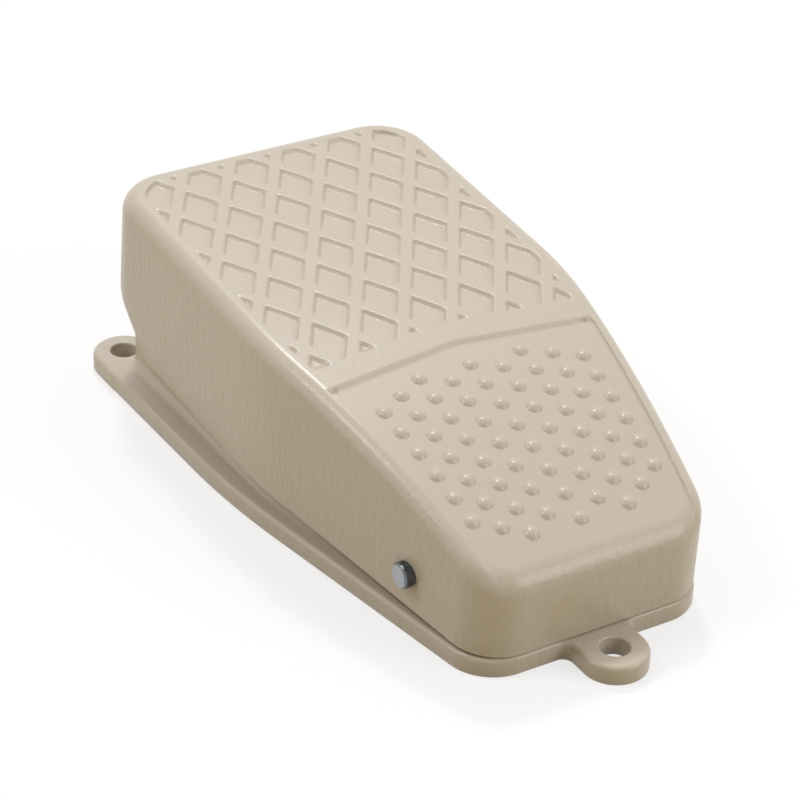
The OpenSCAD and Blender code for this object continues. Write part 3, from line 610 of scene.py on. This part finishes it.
def plate_loop():
    """Flange with its three ears, as a closed loop of points and outward normals from the heel."""
    (_, heel_y), (toe_x, toe_y), _ = HOLES
    back, front, root = PLATE.heel_y, PLATE.toe_y, EAR_R + EAR_FILLET
    side, ear = (47.2, 73.0), (toe_x + EAR_R, 75.5)
    run = [arc_points((0, heel_y), EAR_R, -90, 0, 20)]
    run.append(line_points((EAR_R, heel_y), (EAR_R, back - EAR_FILLET), 3))
    run.append(arc_points((root, back - EAR_FILLET), -EAR_FILLET, 180, 90, 8))
    run.append(line_points((root, back), (PLATE.arcs[0][0][0], back), 6))
    previous = None
    for c, s, e, r in PLATE.arcs[:2]:
        p, n = arc_points(c, r, math.degrees(s), math.degrees(e), 16)
        if previous is not None:
            run.append(line_points(previous, p[0], 20))
        run.append((p, n))
        previous = p[-1]
    run.append(line_points(previous, side, 20))
    run.append((np.array([side, ear]), np.array([[1.0, 0], [1.0, 0]])))
    run.append(line_points(ear, (ear[0], toe_y), 5))
    run.append(arc_points((toe_x, toe_y), EAR_R, 0, 180, 36))
    run.append(arc_points((toe_x - root, front + EAR_FILLET), -EAR_FILLET, 0, -90, 8))
    run.append(line_points((toe_x - root, front), (0, front), 14))
    p = np.concatenate([r[0] for r in run])
    n = np.concatenate([r[1] for r in run])
    keep = np.append(True, np.hypot(*(p[1:] - p[:-1]).T) > 0.02)
    p, n = p[keep], n[keep]
    p = np.concatenate([p, [[0, front]], (p * [-1, 1])[:0:-1]])
    n = np.concatenate([n, [[0, 1.0]], (n * [-1, 1])[:0:-1]])
    return p, n


def stacked(loop, normals, steps):
    """Rings of a loop moved along its normals: each step is (inset, height)."""
    return np.concatenate([np.column_stack([loop - normals * inset, np.full(len(loop), z)])
                           for inset, z in steps])


def fill_between(outer, holes, z, up):
    """Level face bounded by one outer loop and its holes, as triangles that face up or down."""
    loops = [outer] + holes
    pts = np.column_stack([np.concatenate(loops), np.full(sum(map(len, loops)), z)])
    tris = np.array(tessellate_polygon([[(float(x), float(y), 0.0) for x, y in loop] for loop in loops]))
    a, b, c = (pts[tris[:, k], :2] for k in range(3))
    turn = (b[:, 0] - a[:, 0]) * (c[:, 1] - a[:, 1]) - (b[:, 1] - a[:, 1]) * (c[:, 0] - a[:, 0])
    wrong = (turn > 0) != up
    tris[wrong] = tris[wrong][:, ::-1]
    return pts, [tuple(t) for t in tris[np.abs(turn) > 1e-9].tolist()]


def circle(x, y, r, sides=40):
    """Loop of (x + r cos a, y + r sin a)."""
    a = np.linspace(0, 2 * np.pi, sides, endpoint=False)
    return np.stack([x + r * np.cos(a), y + r * np.sin(a)], -1)


def base_parts(sizes):
    """Flange, housing wall and inner floor, stitched where their loops meet."""
    loop, n = plate_loop()
    r = sizes.flange_round
    quarter = np.radians(np.linspace(0, 90, 7))
    edge = [(0.5, 0.0), (0.15, 0.15), (0.0, 0.5)]
    edge += [(r - r * math.cos(a), FLANGE_T - r + r * math.sin(a)) for a in quarter]
    parts = [(stacked(loop, n, edge), loft_faces(len(edge), len(loop)))]
    wall, wn = HOUSING.loop()
    wall = wall - wn * HOUSING_INSET
    # fillet at the wall's foot, as wide as the flange's top leaves room for
    ramp = np.clip((wall[:, 1] + 72.2) / 17, 0, 1)
    room = outline_depth(PLATE, wall[:, 0], wall[:, 1]) - r - 0.15
    foot = np.minimum(1.5 + 0.7 * ramp, room)
    rings = []
    for a in np.radians(np.linspace(0, 90, 8)):
        out = foot * (1 - math.sin(a))
        rings.append(np.column_stack([wall + wn * out[:, None], FLANGE_T + foot * (1 - math.cos(a))]))
    for inset, z in WALL_RIM:
        rings.append(np.column_stack([wall - wn * inset, np.full(len(wall), z)]))
    parts.append((np.concatenate(rings), loft_faces(len(rings), len(wall))))
    parts.append((rings[-1], [tuple(range(len(wall)))]))
    wide, low = HOLE_R + HOLE_ROUND, HOLE_R + HOLE_CHAMFER
    profile = [(low, 0.0), (HOLE_R, HOLE_CHAMFER), (HOLE_R, FLANGE_T - HOLE_ROUND)]
    profile += [(wide - HOLE_ROUND * math.cos(a), FLANGE_T - HOLE_ROUND + HOLE_ROUND * math.sin(a))
                for a in np.radians([30, 60, 90])]
    for x, y in HOLES:
        pts, faces = turned(profile, (x, y, 0), sides=40)
        parts.append((pts, [f[::-1] for f in faces[:-2]]))
    inner = [rings[0][:, :2]] + [circle(x, y, wide) for x, y in HOLES]
    parts.append(fill_between(loop - n * r, inner, FLANGE_T, True))
    parts.append(fill_between(loop - n * 0.5, [circle(x, y, low) for x, y in HOLES], 0.0, False))
    return parts


def boss_parts(sizes):
    """Forms cast on the base, each closed: inlet boss, pin bosses, spring seat and posts."""
    pin, wall_x = (0, sizes.pin_y, sizes.pin_z), taper_x(sizes.pin_y) - HOUSING_INSET
    inlet = [(0, WALL_END_Y - 5), (7.5, WALL_END_Y - 5), (7.5, INLET_Y - 0.8), (7.26, INLET_Y - 0.24),
             (6.7, INLET_Y), (0, INLET_Y)]
    parts = [turned(inlet, (0, 0, INLET_Z), axis="y", sides=64)]
    for s in (-1, 1):
        a, b = sorted((s * (wall_x - 9), s * (wall_x - 1)))
        parts.append(turned([(0, a), (6, a), (6, b), (0, b)], pin, axis="x"))
        parts.append(block((a, sizes.pin_y - 6, 3.5), (b, sizes.pin_y + 6, sizes.pin_z)))
    seat = [(0, 3.5), (9.95, 3.5), (9.95, 5.7), (9.65, 6.0), (6.0, 6.0), (6.0, 9.4), (5.4, 10.0), (0, 10.0)]
    parts.append(turned(seat, (0, SPRING_Y, 0)))
    screw_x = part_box("bracket_screws")[1][0] * 1000 - 3.0
    for x, y, r, top in POSTS + [(screw_x, y, 4.5, 7.0) for y in BRACKET_POSTS_Y]:
        post = [(0, 3.5), (r, 3.5), (r, top - 0.3), (r - 0.3, top), (0, top)]
        parts.append(turned(post, (x, y, 0)))
    parts.append(block((-3, 66.5, 3.5), (3, 72.5, 6.4)))
    return parts


def bore_parts(sizes):
    """What is drilled out of the base: the inlet's stepped bore and the pin's hole, each closed."""
    stepped = [(0, WALL_END_Y - 7), (4.5, WALL_END_Y - 7), (4.5, WALL_END_Y - 2.5), (5.52, WALL_END_Y - 2.5),
               (5.52, INLET_Y + 2), (0, INLET_Y + 2)]
    pin = [(0, -60), (3.01, -60), (3.01, 60), (0, 60)]
    return [turned(stepped, (0, 0, INLET_Z), axis="y", sides=64),
            turned(pin, (0, sizes.pin_y, sizes.pin_z), axis="x")]


# ---------------------------------------------------------------- materials


def add_node(tree, kind, links=(), **settings):
    """Node whose settings name its sockets or attributes; links are (socket, source output)."""
    node = tree.nodes.new(kind)
    for key, value in settings.items():
        key_words = key.replace("_", " ")
        socket = next((s for s in node.inputs if s.name.lower() == key_words.lower()), None)
        if socket is not None:
            socket.default_value = value
        elif hasattr(node, key):
            setattr(node, key, value)
        else:
            raise ValueError(f"{kind} has no {key}")
    for socket, source in links:
        tree.links.new(source, node.inputs[socket])
    return node


def empty_tree(holder):
    """Node tree of a material or a world, with nothing in it."""
    holder.use_nodes = True
    holder.node_tree.nodes.clear()
    return holder.node_tree


def new_material(name):
    """Material with an empty tree, and the object's own coordinates in that tree."""
    material = bpy.data.materials.new(name)
    tree = empty_tree(material)
    return material, tree, add_node(tree, "ShaderNodeTexCoord").outputs["Object"]


def coat(tree, links, **settings):
    """Principled shader as the material's surface."""
    shader = add_node(tree, "ShaderNodeBsdfPrincipled", links, **settings)
    add_node(tree, "ShaderNodeOutputMaterial", [("Surface", shader.outputs["BSDF"])])


def noise(tree, place, cell, **settings):
    """Noise with cells of this size in mm, at coordinates in metres."""
    node = add_node(tree, "ShaderNodeTexNoise", [("Vector", place)], scale=1000.0 / cell, **settings)
    return node.outputs["Fac"]


def ramp(tree, value, low, high, start=0.0, end=1.0):
    """Takes start..end to low..high, and holds at both ends."""
    return add_node(tree, "ShaderNodeMapRange", [("Value", value)], From_Min=start, From_Max=end,
                    To_Min=low, To_Max=high).outputs["Result"]


def blend(tree, factor, low, high):
    """Mix of two colours by a factor."""
    node = add_node(tree, "ShaderNodeMix", [("Factor", factor)], data_type="RGBA")
    # the colours are the seventh and the eighth of its sockets
    node.inputs[6].default_value, node.inputs[7].default_value = low, high
    return node.outputs[2]


def bump(tree, height, distance, strength=1.0, links=()):
    """Normal of a surface roughened by a height of 0 to 1 times this distance in metres."""
    return add_node(tree, "ShaderNodeBump", [("Height", height), *links],
                    strength=strength, distance=distance).outputs["Normal"]


def facing(tree, axis):
    """How squarely a face looks along an axis, either way: 0 to 1."""
    normal = add_node(tree, "ShaderNodeNewGeometry").outputs["Normal"]
    part = add_node(tree, "ShaderNodeSeparateXYZ", [("Vector", normal)]).outputs[axis]
    return add_node(tree, "ShaderNodeMath", [(0, part)], operation="ABSOLUTE").outputs[0]


def baked_paint(colour):
    """Semi-gloss stove enamel over die-cast aluminium.

    The level top flows out smooth, the walls keep a pebbled skin of 1 to 2 mm drawn out downwards,
    and a fine grain breaks every glint into dots.
    """
    material, tree, place = new_material("stove_enamel_beige")
    drawn = add_node(tree, "ShaderNodeMapping", [("Vector", place)])
    drawn.inputs["Scale"].default_value = (1.0, 1.0, 0.45)
    grain = noise(tree, place, 0.7, detail=2.0, roughness=0.6)
    pebble = noise(tree, drawn.outputs["Vector"], 1.5, detail=2.0, roughness=0.5)
    cloud = noise(tree, place, 26, detail=2.0)
    wall = ramp(tree, facing(tree, "Z"), 0.55, 0.05, start=0.35, end=0.95)
    gloss = ramp(tree, cloud, 0.28, 0.33)
    skin = bump(tree, grain, 0.00012, strength=0.35)
    relief = bump(tree, pebble, 0.00035, links=[("Normal", skin), ("Strength", wall)])
    coat(tree, [("Roughness", gloss), ("Normal", relief)], Base_Color=colour, ior=1.5)
    return material


def metal(name, colour, rough, grain=1.2, depth=0.00002):
    """Metal with a faint mottle in its gloss and a fine grain, as plating or rolling leaves it."""
    material, tree, place = new_material(name)
    mottle = noise(tree, place, grain, detail=3.0)
    gloss = ramp(tree, mottle, rough * 0.7, rough * 1.35)
    skin = bump(tree, mottle, depth, strength=0.3)
    coat(tree, [("Roughness", gloss), ("Normal", skin)], Base_Color=colour, metallic=1.0)
    return material


def turned_pin(colour):
    """Zinc-plated pin: a plain grey end face with a scuff or two, and a painted reflection on its rim and
    side, darker grey and glossier.
    """
    material, tree, place = new_material("zinc_plated_pin")
    face = ramp(tree, facing(tree, "X"), 0.0, 1.0, start=0.6, end=0.95)
    # painted reflection: one zinc in two tones by facing, the end face a plain grey and the rim and side
    # darker, in place of bright and dark surroundings mirrored in it
    tone = blend(tree, face, linear("#5A5E63"), tuple(0.62 * c for c in colour[:3]) + (1.0,))
    gloss = ramp(tree, face, 0.16, 0.34)
    scuff = noise(tree, place, 1.6, detail=3.0)
    skin = bump(tree, scuff, 0.0003, strength=0.5)
    coat(tree, [("Base Color", tone), ("Roughness", gloss), ("Normal", skin)], metallic=1.0)
    return material


def moulded(name, colour, rough, cell=0.8, depth=0.00003):
    """Moulded plastic or rubber: even colour with a slight cloud, and a fine mould texture."""
    material, tree, place = new_material(name)
    grain = noise(tree, place, cell, detail=3.0)
    shade = ramp(tree, noise(tree, place, 9, detail=2.0), 0.85, 1.15)
    tint = add_node(tree, "ShaderNodeVectorMath", [(1, shade)], operation="MULTIPLY")
    tint.inputs[0].default_value = colour[:3]
    skin = bump(tree, grain, depth, strength=0.5)
    coat(tree, [("Base Color", tint.outputs["Vector"]), ("Normal", skin)], roughness=rough)
    return material


MATERIALS = {}


def finish(name):
    """Material by its short name; all of them are made at the first call."""
    if not MATERIALS:
        colours = bpy.context.scene.paint_colours
        MATERIALS.update(
            paint=baked_paint(tuple(colours.beige)),
            zinc=metal("bright_zinc_plate", tuple(colours.zinc), 0.18),
            pin=turned_pin(tuple(colours.zinc)),
            wire=metal("spring_wire", linear("#8A8D92"), 0.35),
            brass=metal("brass_strip", linear("#C6A052"), 0.28),
            rubber=moulded("nitrile_rubber", linear("#1E1E20"), 0.7),
            phenolic=moulded("phenolic_moulding", linear("#5A2D20"), 0.45),
            nylon=moulded("nylon_moulding", linear("#E6E0CE"), 0.4),
        )
    return MATERIALS[name]


# ---------------------------------------------------------------- pin and spring

PIN_R, PIN_HEAD_R, PIN_SET = 3.0, 3.2, 0.55
WIRE_D, COILS = 1.6, 7


def hinge_pin_parts(sizes):
    """Pin through the castings: chamfered head on the left, clip's groove and chamfer on the right."""
    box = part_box("hinge_pin")
    x0, x1 = box[0][0] * 1000 + PIN_SET, box[1][0] * 1000
    clip = [c[0] * 1000 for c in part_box("pin_clip")]
    r, head = PIN_R, PIN_HEAD_R
    profile = [(head - 0.75, x0), (head - 0.55, x0 + 0.03), (head - 0.1, x0 + 0.42), (head, x0 + 0.6),
               (head, x0 + 2.0), (r, x0 + 2.0), (r, clip[0] - 0.05), (r - 0.5, clip[0] - 0.05),
               (r - 0.5, clip[1] + 0.05), (r, clip[1] + 0.05), (r, x1 - 0.5), (r - 0.5, x1)]
    return [turned(profile, (0, sizes.pin_y, sizes.pin_z), axis="x", sides=64)]


def spring_parts():
    """Compression spring: round wire on a helix of 7 turns, (r cos a, r sin a, rise).

    The first and the last turn rise by one wire each, and the five between share the rest evenly.
    """
    low, high = (np.array(c) * 1000 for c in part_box("return_spring"))
    sides = 16
    rise = high[2] - low[2] - WIRE_D
    t = np.linspace(0, COILS, COILS * 36 + 1)[:, None]
    turn_rise = np.interp(t, (0, 1, COILS - 1, COILS), (0, WIRE_D, rise - WIRE_D, rise))
    z = low[2] + WIRE_D / 2 + turn_rise
    around = np.linspace(0, 2 * np.pi, sides, endpoint=False)[None]
    out = (high[0] - low[0] - WIRE_D) / 2 + WIRE_D / 2 * np.cos(around)
    a = 2 * np.pi * t
    x, y = out * np.cos(a), (low[1] + high[1]) / 2 + out * np.sin(a)
    pts = np.stack([x, y, z + WIRE_D / 2 * np.sin(around)], -1).reshape(-1, 3)
    faces = [tuple(f) for f in loft_faces(len(t), sides)]
    return [(pts, faces + [tuple(range(sides)), tuple(range(len(pts) - sides, len(pts)))])]


# ---------------------------------------------------------------- stage

FLOOR_CARD, FLOOR_SHADOW = "#B7A780", 0.3
WALL_TONE, CEILING_TONE, SKY_STRENGTH = "#80714F", "#FFFFFF", 0.77
SKY_AXIS = (0.25, 0.45, 0.86)
# name, place and size in metres, and power in watts
LAMPS = (("key", (0.50, 1.15, 1.95), 0.28, 16.0), ("window", (-1.25, 0.55, 1.75), 0.40, 8.5),
         ("side", (0.95, -1.45, 0.8), 0.9, 10.5), ("fill", (-1.4, 0.45, 0.3), 0.8, 2.2))
# turn about Z, height and roll in degrees, place in metres, and focal length and sensor width in mm
CAMERA_TURN, CAMERA_AT = (-31.59, 31.585, 1.809), (-0.30501, -0.48536, 0.37596)
CAMERA_LENS, CAMERA_SENSOR = 125.98425, 36.0
WHITE = (1, 1, 1, 1)


def seen_ray(tree):
    """1 for the rays that show the background: camera, mirror and see-through ones."""
    path = add_node(tree, "ShaderNodeLightPath").outputs
    near = add_node(tree, "ShaderNodeMath", [(0, path["Is Camera Ray"]), (1, path["Is Glossy Ray"])],
                    operation="MAXIMUM").outputs[0]
    return add_node(tree, "ShaderNodeMath", [(0, near), (1, path["Is Transmission Ray"])],
                    operation="MAXIMUM").outputs[0]


def mixed(tree, factor, first, second):
    """Mix of two shader nodes, by a number or by another node's output."""
    node = add_node(tree, "ShaderNodeMixShader", [(1, first.outputs[0]), (2, second.outputs[0])])
    if isinstance(factor, float):
        node.inputs[0].default_value = factor
    else:
        tree.links.new(factor, node.inputs[0])
    return node


def add_floor(scene):
    """Floor 8 m wide: a cream card to the light from below, white with a faint shadow to the eye."""
    mesh = bpy.data.meshes.new("floor")
    mesh.from_pydata([(-4, -4, 0), (4, -4, 0), (4, 4, 0), (-4, 4, 0)], [], [(0, 1, 2, 3)])
    floor = bpy.data.objects.new("floor", mesh)
    scene.collection.objects.link(floor)
    material, tree, _ = new_material("pale_floor")
    card = add_node(tree, "ShaderNodeBsdfDiffuse", color=linear(FLOOR_CARD))
    paper = add_node(tree, "ShaderNodeBsdfDiffuse", color=WHITE)
    white = add_node(tree, "ShaderNodeEmission", color=WHITE, strength=1.0)
    mix = mixed(tree, seen_ray(tree), card, mixed(tree, FLOOR_SHADOW, white, paper))
    add_node(tree, "ShaderNodeOutputMaterial", [("Surface", mix.outputs[0])])
    mesh.materials.append(material)


def add_sky(scene):
    """Light from all round: a bright ceiling at the toe-right that fades to a dim, warm wall."""
    scene.world = bpy.data.worlds.new("studio")
    tree = empty_tree(scene.world)
    aim = add_node(tree, "ShaderNodeTexCoord").outputs["Generated"]
    height = add_node(tree, "ShaderNodeVectorMath", [(0, aim)], operation="DOT_PRODUCT")
    height.inputs[1].default_value = SKY_AXIS
    rise = ramp(tree, height.outputs["Value"], 0.0, 1.0, start=-0.15)
    tone = blend(tree, rise, linear(WALL_TONE), linear(CEILING_TONE))
    sky = add_node(tree, "ShaderNodeBackground", [("Color", tone)], strength=SKY_STRENGTH)
    back = add_node(tree, "ShaderNodeBackground", color=WHITE, strength=1.0)
    mix = mixed(tree, seen_ray(tree), sky, back)
    add_node(tree, "ShaderNodeOutputWorld", [("Surface", mix.outputs[0])])


def add_lamps(scene):
    """Square lamps, each turned to a place 20 mm over the origin."""
    for name, at, size, power in LAMPS:
        lamp = bpy.data.lights.new(name, "AREA")
        lamp.size, lamp.energy = size, power
        item = bpy.data.objects.new(name, lamp)
        item.location = at
        item.rotation_euler = (Vector((0, 0, 0.02)) - Vector(at)).to_track_quat("-Z", "Y").to_euler()
        scene.collection.objects.link(item)


def add_camera(scene):
    """Camera that looks down on the heel from the left."""
    camera = bpy.data.cameras.new("camera")
    camera.sensor_width, camera.lens, camera.clip_start = CAMERA_SENSOR, CAMERA_LENS, 0.01
    view = bpy.data.objects.new("camera", camera)
    a, e, r = map(math.radians, CAMERA_TURN)
    back = Vector((math.sin(a) * math.cos(e), -math.cos(a) * math.cos(e), math.sin(e)))
    right = Vector((0, 0, 1)).cross(back).normalized()
    up = back.cross(right)
    right, up = right * math.cos(r) + up * math.sin(r), up * math.cos(r) - right * math.sin(r)
    view.matrix_world = Matrix.Translation(CAMERA_AT) @ Matrix((right, up, back)).transposed().to_4x4()
    scene.collection.objects.link(view)
    scene.camera = view


# ---------------------------------------------------------------- operators


class SCENE_OT_treadle(bpy.types.Operator):
    """Treadle casting with its tread, heel panel and studs"""
    bl_idname = "foot_switch.treadle"
    bl_label = "Treadle casting"

    def execute(self, context):
        sizes = context.scene.casting_sizes
        paint = finish("paint")
        parts = lifted([treadle_shell(sizes)] + under_roof_parts(sizes), sizes)
        merge(to_mesh("treadle_shell", parts, paint, "treadle", "painted_casting", "treadle_casting"))
        to_mesh("heel_studs", lifted(studs(sizes), sizes), paint, "treadle", "painted_casting")
        return {"FINISHED"}


class SCENE_OT_base(bpy.types.Operator):
    """Base casting: flange with ears, housing wall and inlet boss"""
    bl_idname = "foot_switch.base"
    bl_label = "Base casting"

    def execute(self, context):
        sizes = context.scene.casting_sizes
        parts = base_parts(sizes) + boss_parts(sizes)
        shell = to_mesh("base_shell", parts, finish("paint"), "base", "painted_casting", "base_casting")
        drilled(merge(shell, 2e-5), bore_parts(sizes))
        return {"FINISHED"}


class SCENE_OT_hardware(bpy.types.Operator):
    """Hinge pin, return spring and finishes of the fasteners, switch and inlet"""
    bl_idname = "foot_switch.hardware"
    bl_label = "Pin, switch and fasteners"

    def execute(self, context):
        slots = {s["node"]: s["material_slot"] for s in frame["record"]["subparts"]}
        look = {"zinc_plated_steel": "zinc", "spring_steel": "wire", "brass": "brass",
                "black_rubber": "rubber", "phenolic": "phenolic", "plunger_nylon": "nylon",
                "painted_casting": "paint"}
        for name, piece in frame["nodes"].items():
            piece.data.materials.clear()
            piece.data.materials.append(finish(look[slots[name]]))
        pin = to_mesh("turned_hinge_pin", hinge_pin_parts(context.scene.casting_sizes), finish("pin"), "base",
                      "zinc_plated_steel", "hinge_pin")
        merge(pin).data.set_sharp_from_angle(angle=math.radians(25))
        coil = to_mesh("wound_spring", spring_parts(), finish("wire"), "base",
                       "spring_steel", "return_spring")
        merge(coil).data.set_sharp_from_angle(angle=math.radians(60))
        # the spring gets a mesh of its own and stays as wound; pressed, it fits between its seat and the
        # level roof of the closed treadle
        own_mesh(coil)
        return {"FINISHED"}


class SCENE_OT_stage(bpy.types.Operator):
    """Pale floor, soft lamps and camera"""
    bl_idname = "foot_switch.stage"
    bl_label = "Stage"

    def execute(self, context):
        scene = context.scene
        scene.view_settings.view_transform = "Standard"
        for part in (add_floor, add_sky, add_lamps, add_camera):
            part(scene)
        return {"FINISHED"}


class VIEW3D_PT_foot_switch(bpy.types.Panel):
    bl_idname = "VIEW3D_PT_foot_switch"
    bl_label = "Foot switch"
    bl_space_type = "VIEW_3D"
    bl_region_type = "UI"
    bl_category = "Foot switch"

    def draw(self, context):
        for group in (context.scene.casting_sizes, context.scene.paint_colours):
            for key in group.__annotations__:
                self.layout.prop(group, key)
        for kind in STEPS:
            self.layout.operator(kind.bl_idname)


STEPS = (SCENE_OT_treadle, SCENE_OT_base, SCENE_OT_hardware, SCENE_OT_stage)
CLASSES = (CastingSizes, PaintColours, *STEPS, VIEW3D_PT_foot_switch)


def register():
    """Adds the operators, the panel and the scene's settings."""
    for kind in CLASSES:
        bpy.utils.register_class(kind)
    bpy.types.Scene.casting_sizes = PointerProperty(type=CastingSizes)
    bpy.types.Scene.paint_colours = PointerProperty(type=PaintColours)


def unregister():
    """Takes away what register added."""
    del bpy.types.Scene.paint_colours
    del bpy.types.Scene.casting_sizes
    for kind in reversed(CLASSES):
        bpy.utils.unregister_class(kind)


def main():
    """Runs every step as its operator."""
    register()
    for kind in STEPS:
        group, name = kind.bl_idname.split(".")
        getattr(getattr(bpy.ops, group), name)()


if __name__ == "__main__":
    main()
